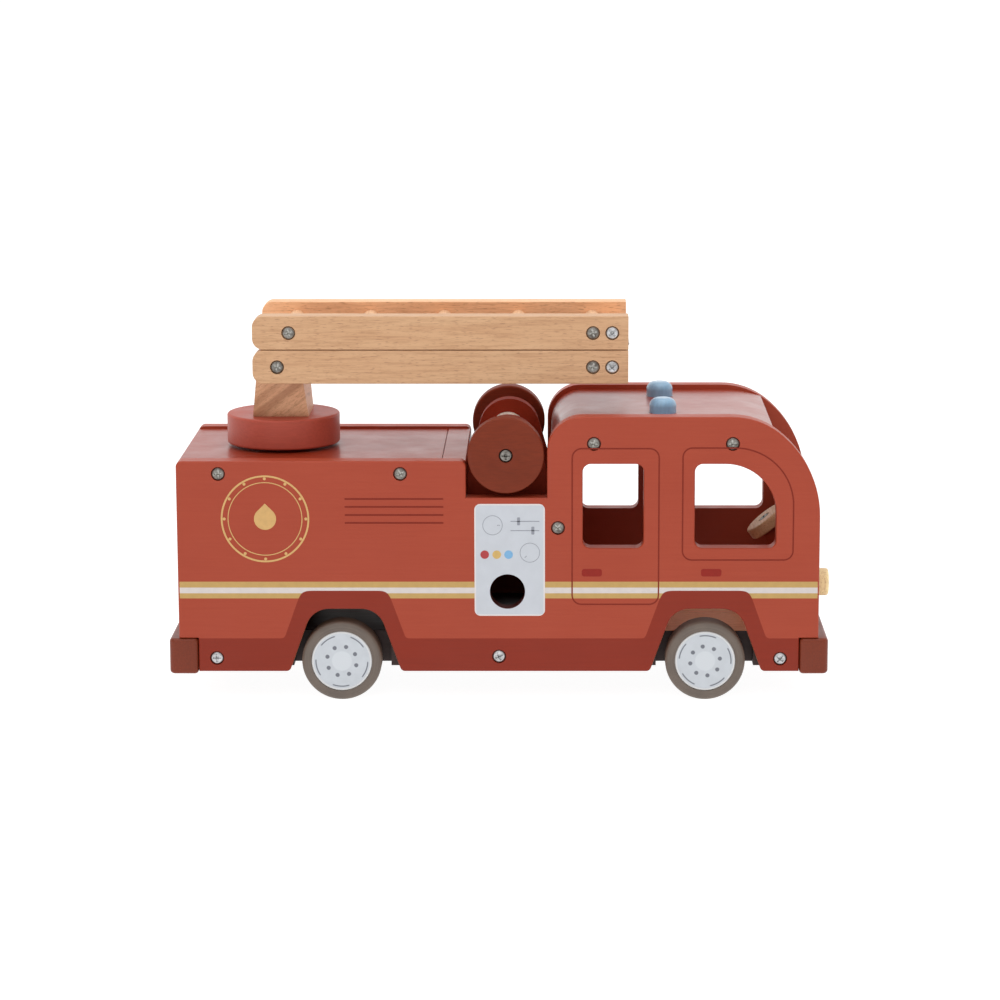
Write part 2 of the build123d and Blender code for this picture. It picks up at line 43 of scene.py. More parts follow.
def makeActive(obj):
    deselectAll()
    obj.select_set(True)
    bpy.context.view_layer.objects.active = obj


def facePlate(x, z, width, height, corner=0.0, bigCorner=None):
    # a flat rounded rectangle, drawn lying down and stood up later; sizes in mm
    deselectAll()
    bpy.ops.mesh.primitive_plane_add(size=1, location=(x * mm, z * mm, 0))
    obj = bpy.context.object
    obj.scale = (width * mm, height * mm, 1)
    bpy.ops.object.transform_apply(location=True, rotation=True, scale=True)
    if bigCorner:  # the front upper corner, rounded more than the rest
        bevelCorner(obj, bigCorner, 20, lambda p: p.x > x * mm and p.y > z * mm)
    if corner:
        limit = (x + width / 2 - (bigCorner or 0) * 0.5) * mm
        middle = z * mm
        bevelCorner(obj, corner, 8, lambda p: not (bigCorner and p.y > middle and p.x > limit
                                                   or bigCorner and p.x > x * mm and p.y > middle))
    return obj


def spanPlate(span, corner=0.0, bigCorner=None):
    # the same from its ends in X and then in Z
    x0, x1, z0, z1 = span
    return facePlate((x0 + x1) / 2, (z0 + z1) / 2, x1 - x0, z1 - z0, corner, bigCorner)


def bevelCorner(obj, radius, segments, chosen):
    for vert in obj.data.vertices:
        vert.select = chosen(vert.co)
    for edge in obj.data.edges:
        edge.select = False
    for face in obj.data.polygons:
        face.select = False
    bpy.ops.object.mode_set(mode="EDIT")
    bpy.ops.mesh.select_mode(type="VERT")
    bpy.ops.mesh.bevel(offset=radius * mm, segments=segments, affect="VERTICES")
    bpy.ops.object.mode_set(mode="OBJECT")


def roundPlate(x, z, radius, count=64):
    deselectAll()
    bpy.ops.mesh.primitive_circle_add(vertices=count, radius=radius * mm, fill_type="NGON",
                                      location=(x * mm, z * mm, 0))
    bpy.ops.object.transform_apply(location=True, rotation=True, scale=True)
    return bpy.context.object


def hollow(obj, line):
    # keeps a line of that width along the rim
    makeActive(obj)
    bpy.ops.object.mode_set(mode="EDIT")
    bpy.ops.mesh.select_mode(type="FACE")
    bpy.ops.mesh.select_all(action="SELECT")
    bpy.ops.mesh.inset(thickness=line * mm, depth=0)
    bpy.ops.mesh.delete(type="FACE")
    bpy.ops.object.mode_set(mode="OBJECT")
    return obj


def joinAll(objs, name):
    deselectAll()
    for obj in objs:
        obj.select_set(True)
    bpy.context.view_layer.objects.active = objs[0]
    if len(objs) > 1:
        bpy.ops.object.join()
    obj = bpy.context.object
    obj.name = name
    return obj


def standing(faceY):
    # from lying on the floor to standing against the right side
    return Matrix.Translation((0, faceY * mm, 0)) @ Matrix.Rotation(math.radians(90), 4, "X")


def printOn(objs, name, faceY, thickness, material, body="chassis"):
    # stands the flat shapes up against the right side, gives them the film's thickness
    # and makes the same print for the left side
    obj = joinAll(objs, "right" + name)
    obj.matrix_world = standing(faceY)
    makeActive(obj)
    bpy.ops.object.transform_apply(location=True, rotation=True, scale=True)
    film = obj.modifiers.new("film", "SOLIDIFY")
    film.thickness = thickness * mm
    film.offset = 1.0
    bpy.ops.object.modifier_apply(modifier=film.name)
    finishPrint(obj, material, body)
    deselectAll()
    other = obj.copy()
    other.data = obj.data.copy()
    other.name = "left" + name
    bpy.context.collection.objects.link(other)
    makeActive(other)
    other.scale = (1, -1, 1)
    bpy.ops.object.transform_apply(location=True, rotation=True, scale=True)
    finishPrint(other, material, body)


def finishPrint(obj, material, body):
    bpy.ops.object.mode_set(mode="EDIT")
    bpy.ops.mesh.select_all(action="SELECT")
    bpy.ops.mesh.normals_make_consistent(inside=False)
    bpy.ops.object.mode_set(mode="OBJECT")
    obj.data.materials.clear()
    obj.data.materials.append(material)
    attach(obj, body)


# small helpers for materials
def tone(red, green, blue):
    # a screen colour, 0 to 255, as the shader wants it
    def channel(value):
        value = value / 255
        return value / 12.92 if value <= 0.04045 else ((value + 0.055) / 1.055) ** 2.4
    return (channel(red), channel(green), channel(blue), 1.0)


def startMaterial(name, roughness=0.5):
    material = bpy.data.materials.new(name)
    material.use_nodes = True
    tree = material.node_tree
    tree.nodes.clear()
    output = tree.nodes.new("ShaderNodeOutputMaterial")
    shader = tree.nodes.new("ShaderNodeBsdfPrincipled")
    shader.inputs["Roughness"].default_value = roughness
    tree.links.new(shader.outputs[0], output.inputs[0])
    coords = tree.nodes.new("ShaderNodeTexCoord").outputs["Object"]
    return material, tree, shader, coords


def setInput(tree, socket, value):
    if hasattr(value, "is_output"):
        tree.links.new(value, socket)
    else:
        socket.default_value = value


def stretch(tree, coords, scale, turn=(0, 0, 0), shift=(0, 0, 0)):
    mapping = tree.nodes.new("ShaderNodeMapping")
    tree.links.new(coords, mapping.inputs["Vector"])
    mapping.inputs["Location"].default_value = shift
    mapping.inputs["Rotation"].default_value = [math.radians(a) for a in turn]
    mapping.inputs["Scale"].default_value = scale
    return mapping.outputs[0]


def noise(tree, vector, scale=1.0, detail=3.0, rough=0.55, distortion=0.0):
    node = tree.nodes.new("ShaderNodeTexNoise")
    tree.links.new(vector, node.inputs["Vector"])
    node.inputs["Scale"].default_value = scale
    node.inputs["Detail"].default_value = detail
    node.inputs["Roughness"].default_value = rough
    node.inputs["Distortion"].default_value = distortion
    return node.outputs[0]


def calc(tree, operation, first, second=0.0, third=0.0):
    node = tree.nodes.new("ShaderNodeMath")
    node.operation = operation
    setInput(tree, node.inputs[0], first)
    setInput(tree, node.inputs[1], second)
    setInput(tree, node.inputs[2], third)
    return node.outputs[0]


def mapRange(tree, value, low, high, toLow=0.0, toHigh=1.0):
    node = tree.nodes.new("ShaderNodeMapRange")
    tree.links.new(value, node.inputs[0])
    for place, number in zip((1, 2, 3, 4), (low, high, toLow, toHigh)):
        node.inputs[place].default_value = number
    return node.outputs[0]


def fade(tree, value, span, toLow=0.0, toHigh=1.0):
    # over a span in mm
    return mapRange(tree, value, span[0] * mm, span[1] * mm, toLow, toHigh)


def mixColour(tree, factor, first, second):
    node = tree.nodes.new("ShaderNodeMix")
    node.data_type = "RGBA"
    setInput(tree, node.inputs[0], factor)
    setInput(tree, node.inputs[6], first)
    setInput(tree, node.inputs[7], second)
    return node.outputs[2]


def splitAxes(tree, vector):
    node = tree.nodes.new("ShaderNodeSeparateXYZ")
    tree.links.new(vector, node.inputs[0])
    return node.outputs[0], node.outputs[1], node.outputs[2]


def subtract(tree, first, second):
    return calc(tree, "SUBTRACT", first, second)


def multiply(tree, first, second):
    return calc(tree, "MULTIPLY", first, second)


def absolute(tree, value):
    return calc(tree, "ABSOLUTE", value)


def length(tree, first, second):
    squares = calc(tree, "ADD", multiply(tree, first, first), multiply(tree, second, second))
    return calc(tree, "SQRT", squares)


def shaded(colour, factor):
    return tone(*[channel * factor for channel in colour])


def cloudy(tree, coords, scale, detail=3.0):
    # soft patches from 0 to 1
    return mapRange(tree, noise(tree, coords, scale, detail), 0.3, 0.7)


def inside(tree, distance, soft=0.00008):
    # 1 where a signed distance in metres is below zero
    return mapRange(tree, distance, -soft, soft, 1.0, 0.0)


def addBump(tree, shader, height, distance, strength=1.0):
    node = tree.nodes.new("ShaderNodeBump")
    node.inputs["Strength"].default_value = strength
    node.inputs["Distance"].default_value = distance
    tree.links.new(height, node.inputs["Height"])
    tree.links.new(node.outputs[0], shader.inputs["Normal"])


def giveMaterial(material, *names):
    for name in names:
        for slot in nodes[name].material_slots:
            slot.material = material


# paint
paint = {
    "panelRed": (168, 68, 44),
    "panelRedLow": (162, 63, 40),
    "skirtRed": (139, 39, 14),
    "stripeYellow": (194, 158, 96),
    "stripeWhite": (215, 206, 202),
    "bodyRed": (154, 52, 26),
    "darkRed": (131, 53, 28),
    "reelRed": (128, 50, 26),
    "bracketRed": (156, 52, 30),
    "diskRed": (187, 82, 64),
    "archWood": (240, 160, 112),
    "roughness": 0.42,
    "coatRoughness": 0.22,
    "stripes": ((52.5, 61.0), (55.1, 58.0)),
    "stripeReach": 159.2,
    "rounding": (56.4, 56.6),
    "face": (57.2, 57.35),
    "skirtTop": 32.0,
    "skirtBlend": 2.5,
    "bumpBlend": 6.0,
    "bumpTop": 56.4,
    "bumpHalf": 21.6,
    "bumpSlope": 0.36,
    "bumpTurn": 0.941,
    "arches": (-76.9, 103.5),
    "archHalf": 28.3,
    "archTop": 47.3,
    "cutFaceStart": 48.6,
    "cutFaceEnd": (56.8, 57.0),
    "hole": (4.4, 56.0, 9.0),
    "holeRed": (84, 26, 18),
}


def paintBase(tree, coords, light, dark, grain=(6, 160, 160)):
    # a slightly uneven varnish over a fine grain that just shows through
    cloud = cloudy(tree, coords, 22.0)
    streaks = mapRange(tree, noise(tree, stretch(tree, coords, grain), 6.0, 4.0, 0.6), 0.35, 0.65)
    blended = calc(tree, "MULTIPLY_ADD", streaks, 0.45, multiply(tree, cloud, 0.55))
    return mixColour(tree, blended, tone(*dark), tone(*light)), streaks


def paintFinish(tree, shader, coords, streaks, rough, coat=0.0, specular=0.3):
    # the coat is the smoother top of the varnish, which shines at a flat angle
    shader.inputs["Coat Weight"].default_value = coat
    shader.inputs["Coat Roughness"].default_value = paint["coatRoughness"]
    fine = noise(tree, coords, 900.0, 3.0, 0.6)
    shader.inputs["Specular IOR Level"].default_value = specular
    roughMap = mapRange(tree, noise(tree, coords, 60.0, 4.0), 0.3, 0.7, rough - 0.06, rough + 0.08)
    tree.links.new(roughMap, shader.inputs["Roughness"])
    height = calc(tree, "MULTIPLY_ADD", streaks, 0.6, multiply(tree, fine, 0.5))
    addBump(tree, shader, height, 0.00004, 0.7)


def plainPaint(name, colour, shade=0.9, rough=None, grain=(6, 160, 160), coat=0.0, specular=0.3):
    material, tree, shader, coords = startMaterial(name)
    dark = [channel * shade for channel in colour]
    colourOut, streaks = paintBase(tree, coords, colour, dark, grain)
    tree.links.new(colourOut, shader.inputs["Base Color"])
    paintFinish(tree, shader, coords, streaks, rough or paint["roughness"], coat, specular)
    return material


def sidePaint():
    material, tree, shader, coords = startMaterial("sidePaint")
    x, y, z = splitAxes(tree, coords)
    base, streaks = paintBase(tree, coords, paint["panelRed"], paint["panelRedLow"])
    skirtDark = [channel * 0.94 for channel in paint["skirtRed"]]
    skirt = paintBase(tree, coords, paint["skirtRed"], skirtDark)[0]
    absY = absolute(tree, y)
    # outer takes in the rounded edge of the board, flat only its face
    outer = fade(tree, absY, paint["rounding"])
    flat = fade(tree, absY, paint["face"])
    flat = multiply(tree, flat, calc(tree, "LESS_THAN", absolute(tree, x), paint["stripeReach"] * mm))
    bumps = []
    for centre in paint["arches"]:
        across = absolute(tree, subtract(tree, x, centre * mm))
        drop = subtract(tree, paint["bumpTop"] * mm, z)
        edge = calc(tree, "MULTIPLY_ADD", drop, paint["bumpSlope"], paint["bumpHalf"] * mm)
        side = multiply(tree, subtract(tree, across, edge), paint["bumpTurn"])
        above = subtract(tree, z, paint["bumpTop"] * mm)
        bumps.append(calc(tree, "SMOOTH_MAX", side, above, paint["bumpBlend"] * mm))
    both = calc(tree, "MINIMUM", bumps[0], bumps[1])
    low = subtract(tree, z, paint["skirtTop"] * mm)
    skirtMask = inside(tree, calc(tree, "SMOOTH_MIN", both, low, paint["skirtBlend"] * mm))
    colour = base
    for (bottom, top), name in zip(paint["stripes"], ("stripeYellow", "stripeWhite")):
        middle = (bottom + top) / 2 * mm
        half = (top - bottom) / 2 * mm
        away = subtract(tree, absolute(tree, subtract(tree, z, middle)), half)
        stripe = multiply(tree, inside(tree, away), flat)
        ink = mixColour(tree, cloudy(tree, coords, 300.0), shaded(paint[name], 0.965), tone(*paint[name]))
        colour = mixColour(tree, stripe, colour, ink)
    colour = mixColour(tree, multiply(tree, skirtMask, outer), colour, skirt)
    # the cut faces inside the wheel arches are bare wood
    reveal = 0.0
    for centre in paint["arches"]:
        across = absolute(tree, subtract(tree, x, centre * mm))
        reveal = calc(tree, "MAXIMUM", reveal, calc(tree, "LESS_THAN", across, paint["archHalf"] * mm))
    reveal = multiply(tree, reveal, calc(tree, "LESS_THAN", z, paint["archTop"] * mm))
    reveal = multiply(tree, reveal, fade(tree, absY, paint["cutFaceEnd"], 1.0, 0.0))
    reveal = multiply(tree, reveal, calc(tree, "GREATER_THAN", absY, paint["cutFaceStart"] * mm))
    plies = cloudy(tree, stretch(tree, coords, (40, 900, 40)), 1.0)
    wood = mixColour(tree, plies, shaded(paint["archWood"], 0.85), tone(*paint["archWood"]))
    colour = mixColour(tree, reveal, colour, wood)
    # the bore of the round hole is darker
    holeX, holeZ, holeRadius = paint["hole"]
    away = length(tree, subtract(tree, x, holeX * mm), subtract(tree, z, holeZ * mm))
    bore = calc(tree, "LESS_THAN", away, holeRadius * mm)
    colour = mixColour(tree, bore, colour, tone(*paint["holeRed"]))
    tree.links.new(colour, shader.inputs["Base Color"])
    paintFinish(tree, shader, coords, streaks, paint["roughness"])
    return material


sideMaterial = sidePaint()
giveMaterial(sideMaterial, "right_side_panel", "left_side_panel")

# what sets each plain paint apart, and the pieces that have it
plainPaints = {
    "bodyPaint": ({"colour": paint["bodyRed"], "rough": 0.36, "coat": 0.32},
                  ("rear_wall", "rear_deck", "bay_bulkhead", "bay_floor", "cab_rear_wall", "front_wall",
                   "steering_block")),
    "roofPaint": ({"colour": paint["bodyRed"], "rough": 0.34, "coat": 0.56}, ("cab_roof",)),
    "bumperPaint": ({"colour": paint["darkRed"], "shade": 0.82, "rough": 0.38, "grain": (200, 14, 200)},
                    ("front_bumper", "rear_bumper")),
    "reelPaint": ({"colour": paint["reelRed"], "shade": 0.84, "rough": 0.52, "grain": (30, 160, 200),
                   "specular": 0.2}, ("right_reel_disc", "left_reel_disc")),
    "bracketPaint": ({"colour": paint["bracketRed"], "shade": 0.88, "rough": 0.6, "grain": (30, 160, 200),
                      "specular": 0.1}, ("right_reel_bracket", "left_reel_bracket")),
    "turntablePaint": ({"colour": paint["diskRed"], "shade": 0.88, "rough": 0.4}, ("turntable_disc",)),
    "lampPaint": ({"colour": (142, 184, 216), "shade": 0.88, "rough": 0.34, "grain": (160, 160, 20),
                   "coat": 0.85}, ("right_beacon", "left_beacon")),
    "nylon": ({"colour": (206, 202, 190), "shade": 0.94, "rough": 0.55}, ("axle_bushes", "turntable_washer")),
}
for name, (settings, pieces) in plainPaints.items():
    giveMaterial(plainPaint(name, **settings), *pieces)
print("paint done")


# bare beech
beech = {
    "light": (215, 172, 131),
    "middle": (206, 160, 119),
    "dark": (176, 128, 90),
    "fleck": (136, 88, 58),
    "fleckAmount": 0.5,
    # painted shade: the base board is coloured near-black for the shade under the body
    "paintedUnderShade": (46, 24, 20),
    "baseTop": 31.7,
    "bareFrom": 35.0,
    "roughness": 0.5,
}


def beechWood(name, turn=(0, 0, 0), tint=(1.0, 1.0, 1.0), shift=0.0, bandDepth=0.0):
    # grain along X before the turn: broad bands, fine streaks and the short dark flecks of beech
    material, tree, shader, coords = startMaterial(name)
    laid = stretch(tree, coords, (1, 1, 1), turn, (shift, shift, shift))
    bands = noise(tree, stretch(tree, laid, (14, 110, 110)), 1.0, 3.0, 0.5, 0.8)
    streaks = noise(tree, stretch(tree, laid, (60, 1100, 1100)), 1.0, 4.0, 0.6, 0.4)
    flecks = noise(tree, stretch(tree, laid, (260, 2400, 2400)), 1.0, 2.0, 0.5, 0.2)

    def tinted(key):
        return tone(*[min(255, channel * factor) for channel, factor in zip(beech[key], tint)])

    colour = mixColour(tree, mapRange(tree, bands, 0.28, 0.72), tinted("middle"), tinted("light"))
    colour = mixColour(tree, mapRange(tree, streaks, 0.45, 0.72, 0.0, 0.65), colour, tinted("dark"))
    if bandDepth:
        rings = noise(tree, stretch(tree, laid, (7, 14, 120)), 1.0, 2.0, 0.5, 0.4)
        colour = mixColour(tree, mapRange(tree, rings, 0.5, 0.6, 0.0, bandDepth), colour, tinted("fleck"))
    fleckMask = mapRange(tree, flecks, 0.58, 0.68, 0.0, beech["fleckAmount"])
    colour = mixColour(tree, fleckMask, colour, tinted("fleck"))
    tree.links.new(colour, shader.inputs["Base Color"])
    rough = mapRange(tree, streaks, 0.3, 0.7, beech["roughness"] - 0.06, beech["roughness"] + 0.1)
    tree.links.new(rough, shader.inputs["Roughness"])
    height = subtract(tree, multiply(tree, streaks, 0.5), fleckMask)
    addBump(tree, shader, height, 0.00004, 0.6)
    return material


def baseBoardWood():
    # near-black all round, a painted shade for the dark under the body and in the wheel wells, and bare wood
    # only on top, in front of the wall behind the cab
    material = beechWood("baseBeech", (0, 0, 0), (1.18, 1.02, 0.98), 0.07)
    tree = material.node_tree
    shader = [node for node in tree.nodes if node.type == "BSDF_PRINCIPLED"][0]
    coords = [node for node in tree.nodes if node.type == "TEX_COORD"][0].outputs["Object"]
    x, y, z = splitAxes(tree, coords)
    onTop = calc(tree, "GREATER_THAN", z, beech["baseTop"] * mm)
    bare = multiply(tree, onTop, calc(tree, "GREATER_THAN", x, beech["bareFrom"] * mm))
    wood = shader.inputs["Base Color"].links[0].from_socket
    # the near-black is painted shade; only the top in front of the cab wall keeps its bare wood
    tree.links.new(mixColour(tree, bare, tone(*beech["paintedUnderShade"]), wood), shader.inputs["Base Color"])
    return material


# how the wood lies in each piece, and how much paler it is than the near rails; on the left rails the paler
# tint is painted light against their shade behind the near rails
beechPieces = {
    "rightRailBeech": ({}, ("lower_right_rail", "upper_right_rail")),
    # the left rails are the same beech, made paler as painted light against the near rails' shade
    "leftRailBeechPaintedLight": ({"tint": (1.18, 1.16, 1.16), "shift": 0.61}, ("lower_left_rail", "upper_left_rail")),
    "rungBeech": ({"turn": (0, 0, 90), "tint": (1.1, 1.1, 1.12), "shift": 0.13},
                  ("lower_rungs", "upper_rungs", "lower_end_block", "upper_end_block")),
    "blockBeech": ({"turn": (0, 38, 0), "tint": (1.08, 1.09, 1.13), "shift": 0.31, "bandDepth": 0.5},
                   ("ladder_block",)),
    "steeringBeech": ({"turn": (0, 40, 90), "tint": (1.05, 1.05, 1.05), "shift": 0.21}, ("steering_wheel",)),
    "lampBeech": ({"turn": (0, 90, 0), "tint": (1.2, 1.37, 1.37), "shift": 0.4},
                  ("right_headlight", "left_headlight")),
    "spindleBeech": ({"turn": (0, 0, 90), "tint": (1.27, 1.6, 2.0), "shift": 0.5}, ("reel_spindle",)),
}
for name, (settings, pieces) in beechPieces.items():
    giveMaterial(beechWood(name, **settings), *pieces)
giveMaterial(baseBoardWood(), "base_board")
print("wood done")


# wheels and metal
wheels = {
    "tyre": (115, 102, 92),
    "tyreDark": (95, 84, 76),
    "hub": (201, 206, 212),
    "hubRim": (222, 222, 222),
    "hubMiddle": (208, 213, 218),
    "mark": (95, 98, 108),
    "rimStart": (14.0, 14.4),
    "middleRadius": 5.0,
    "dotStep": 45,
    "arcStep": 72,
    "dotCircle": 7.5,
    "dotRadius": 1.05,
    "arcCircle": 13.0,
    "arcHalfWidth": 0.31,
    "arcHalfAngle": 19.0,
    "ends": {"rear": (-78.8, 28.0, 51.5), "front": (103.4, 9.5, 12.0)},
    "axleHeight": 20.0,
}


def aroundAxle(tree, coords, centreX):
    # distance from the axle and the angle round it
    x, y, z = splitAxes(tree, coords)
    across = subtract(tree, x, centreX * mm)
    up = subtract(tree, z, wheels["axleHeight"] * mm)
    return length(tree, across, up), calc(tree, "ARCTAN2", up, across), y


def tyreMaterial(end):
    centreX = wheels["ends"][end][0]
    material, tree, shader, coords = startMaterial(end + "Tyre")
    radius, angle, y = aroundAxle(tree, coords, centreX)
    turned = tree.nodes.new("ShaderNodeCombineXYZ")
    tree.links.new(multiply(tree, radius, 1400.0), turned.inputs[0])
    tree.links.new(multiply(tree, y, 900.0), turned.inputs[1])
    tree.links.new(calc(tree, "SINE", angle), turned.inputs[2])
    rings = noise(tree, turned.outputs[0], 1.0, 3.0)
    cloud = noise(tree, coords, 90.0, 3.0)
    both = calc(tree, "MULTIPLY_ADD", rings, 0.5, multiply(tree, cloud, 0.5))
    worn = mapRange(tree, both, 0.35, 0.65)
    colour = mixColour(tree, worn, tone(*wheels["tyreDark"]), tone(*wheels["tyre"]))
    tree.links.new(colour, shader.inputs["Base Color"])
    tree.links.new(mapRange(tree, cloud, 0.3, 0.7, 0.48, 0.62), shader.inputs["Roughness"])
    addBump(tree, shader, rings, 0.00005, 0.6)
    return material


def repeatAngle(tree, angle, offset, step):
    # the angle from the nearest of the marks, in radians
    turned = subtract(tree, angle, math.radians(offset - step / 2))
    part = calc(tree, "FRACT", calc(tree, "DIVIDE", turned, math.radians(step)))
    return multiply(tree, subtract(tree, part, 0.5), math.radians(step))


def hubMaterial(end):
    centreX, dotTurn, arcTurn = wheels["ends"][end]
    material, tree, shader, coords = startMaterial(end + "Hub", 0.45)
    radius, angle, y = aroundAxle(tree, coords, centreX)
    cloud = noise(tree, coords, 200.0, 3.0)
    patches = mapRange(tree, cloud, 0.3, 0.7)
    colour = mixColour(tree, patches, shaded(wheels["hub"], 0.97), tone(*wheels["hub"]))
    rim = fade(tree, radius, wheels["rimStart"])
    colour = mixColour(tree, rim, colour, tone(*wheels["hubRim"]))
    middle = inside(tree, subtract(tree, radius, wheels["middleRadius"] * mm), 0.0003)
    colour = mixColour(tree, middle, colour, tone(*wheels["hubMiddle"]))
    # a ring of eight dots
    dotCircle = wheels["dotCircle"] * mm
    along = multiply(tree, repeatAngle(tree, angle, dotTurn, wheels["dotStep"]), dotCircle)
    away = length(tree, along, subtract(tree, radius, dotCircle))
    dots = inside(tree, subtract(tree, away, wheels["dotRadius"] * mm), 0.00018)
    # five short arcs near the rim
    arcAngle = absolute(tree, repeatAngle(tree, angle, arcTurn, wheels["arcStep"]))
    arcOut = absolute(tree, subtract(tree, radius, wheels["arcCircle"] * mm))
    line = inside(tree, subtract(tree, arcOut, wheels["arcHalfWidth"] * mm), 0.00012)
    ends = [math.radians(wheels["arcHalfAngle"] + extra) for extra in (-2, 1)]
    arcs = multiply(tree, line, mapRange(tree, arcAngle, ends[0], ends[1], 1.0, 0.0))
    marks = calc(tree, "MAXIMUM", dots, arcs)
    colour = mixColour(tree, multiply(tree, marks, 0.9), colour, tone(*wheels["mark"]))
    tree.links.new(colour, shader.inputs["Base Color"])
    addBump(tree, shader, cloud, 0.00002, 0.4)
    return material


for end in wheels["ends"]:
    giveMaterial(tyreMaterial(end), end + "_right_tyre", end + "_left_tyre")
    giveMaterial(hubMaterial(end), end + "_right_hub", end + "_left_hub")

metal = {
    "bright": (212, 212, 214),
    "brightPatches": (168, 168, 168),
    "dull": (158, 155, 149),
    # painted shade for the heads of recessed screws, and the dark patches of the dull heads
    "darkPatchesAndHeadShade": (98, 92, 86),
    # painted glint down in the cross of the recessed screws
    "slot": (200, 198, 192),
    "panelHeads": 57.25,
    "ladderHeads": 34.9,
    "slotFade": (0.5, 0.3),
}


def steel(name, light, dark, rough=0.34):
    material, tree, shader, coords = startMaterial(name, rough)
    shader.inputs["Metallic"].default_value = 0.9
    scratches = noise(tree, coords, 1800.0, 3.0, 0.65)
    patches = noise(tree, coords, 350.0, 2.0)
    colour = mixColour(tree, mapRange(tree, patches, 0.3, 0.7), tone(*dark), tone(*light))
    tree.links.new(colour, shader.inputs["Base Color"])
    worn = mapRange(tree, scratches, 0.3, 0.7, rough - 0.08, rough + 0.12)
    tree.links.new(worn, shader.inputs["Roughness"])
    addBump(tree, shader, scratches, 0.00003, 0.5)
    return material, tree, shader, coords, colour


def headSteel(name, headFace):
    # head painted dark as painted shade in its recess, bright down in the cross as a painted glint; headFace
    # is how far out in Y the head's face lies
    material, tree, shader, coords, colour = steel(name, metal["darkPatchesAndHeadShade"], metal["dull"], 0.4)
    x, y, z = splitAxes(tree, coords)
    span = [headFace - depth for depth in metal["slotFade"]]
    slotGlint = fade(tree, absolute(tree, y), span, 1.0, 0.0)
    mixed = mixColour(tree, slotGlint, colour, tone(*metal["slot"]))
    tree.links.new(mixed, shader.inputs["Base Color"])
    return material


brightSteel = steel("zincSteel", metal["bright"], metal["brightPatches"])[0]
giveMaterial(brightSteel, "front_axle", "rear_axle", "axle_spacers", "turntable_bolt", "bolt_washer",
             "lower_end_bolts", "upper_end_bolts", "lower_hinge_leaf", "upper_hinge_leaf", "hinge_pin",
             "lower_panel_screws")
# the upper panel screws and the ladder screws carry painted shade on the head and a painted glint in the
# cross
giveMaterial(headSteel("recessedHeadShade", metal["panelHeads"]), "upper_panel_screws")
giveMaterial(headSteel("ladderHead", metal["ladderHeads"]), "ladder_pivot_screws", "lower_rung_screws",
             "upper_rung_screws")
giveMaterial(steel("dullHead", metal["dull"], metal["darkPatchesAndHeadShade"])[0], "steering_screw", "reel_screws")
print("wheels and metal done")


# prints on the sides
prints = {
    "face": -57.45,
    "film": 0.11,
    "upperFilm": -57.49,
    "lineRed": (130, 40, 23),
    "handleRed": (146, 38, 28),
    "cream": (214, 172, 112),
    "plate": (198, 202, 209),
    # painted highlight along the control plate's edge
    "plateEdgeHighlight": (222, 214, 212),
    "greyLine": (150, 153, 162),
    "red": (178, 70, 72),
    "yellow": (214, 178, 110),
    "blue": (128, 178, 218),
}


def inkMaterial(name, colour, rough=0.45):
    material, tree, shader, coords = startMaterial(name, rough)
    shader.inputs["Specular IOR Level"].default_value = 0.2
    mixed = mixColour(tree, cloudy(tree, coords, 420.0), shaded(colour, 0.95), tone(*colour))
    tree.links.new(mixed, shader.inputs["Base Color"])
    addBump(tree, shader, noise(tree, coords, 1500.0, 2.0), 0.00001, 0.4)
    return material


doors = {
    "line": 0.7,
    "rear": (36.3, 80.1, 49.1, 128.7),
    "front": (91.2, 147.0, 71.7, 129.0),
    "corner": 5.0,
    "frontCurve": 29.5,
    "handles": ((41.5, 51.5), (100.9, 111.1)),
    "handleHeights": (63.7, 67.5),
    "handleCorner": 1.2,
}
rearDoor = hollow(spanPlate(doors["rear"], doors["corner"]), doors["line"])
frontDoor = hollow(spanPlate(doors["front"], doors["corner"], doors["frontCurve"]), doors["line"])
lineInk = inkMaterial("doorInk", prints["lineRed"])
printOn([rearDoor, frontDoor], "DoorLines", prints["face"], prints["film"], lineInk)

handles = [spanPlate(span + doors["handleHeights"], doors["handleCorner"]) for span in doors["handles"]]
printOn(handles, "DoorHandles", prints["face"], prints["film"], inkMaterial("handleInk", prints["handleRed"]))

vents = {"span": (-76.4, -27.3), "heights": (103.0, 99.0, 94.9, 90.9), "line": 0.85, "corner": 0.3}
ventLines = []
for height in vents["heights"]:
    band = (height - vents["line"] / 2, height + vents["line"] / 2)
    ventLines.append(spanPlate(vents["span"] + band, vents["corner"]))
printOn(ventLines, "Vents", prints["face"], prints["film"], lineInk)

emblem = {
    "centre": (-116.0, 92.9),
    "rings": ((22.0, 0.9), (18.6, 0.45)),
    "drop": 11.0,
    "dots": 20.3,
    "dotRadius": 0.75,
}


def waterDrop(x, z, size):
    # a square stood on its corner, three corners rounded and the upper one left sharp
    deselectAll()
    bpy.ops.mesh.primitive_plane_add(size=size * mm, location=(x * mm, z * mm, 0),
                                     rotation=(0, 0, math.radians(45)))
    drop = bpy.context.object
    bpy.ops.object.transform_apply(location=True, rotation=True, scale=True)
    bevelCorner(drop, size * 0.5, 14, lambda p: p.y < z * mm + size * 0.5 * mm)
    return drop


emblemX, emblemZ = emblem["centre"]
badge = [hollow(roundPlate(emblemX, emblemZ, radius, 96), line) for radius, line in emblem["rings"]]
badge.append(waterDrop(emblemX, emblemZ, emblem["drop"]))
for step in range(12):
    turn = math.radians(30 * step)
    dotX = emblemX + emblem["dots"] * math.cos(turn)
    dotZ = emblemZ + emblem["dots"] * math.sin(turn)
    badge.append(roundPlate(dotX, dotZ, emblem["dotRadius"], 20))
printOn(badge, "Emblem", prints["face"], prints["film"], inkMaterial("creamInk", prints["cream"]))

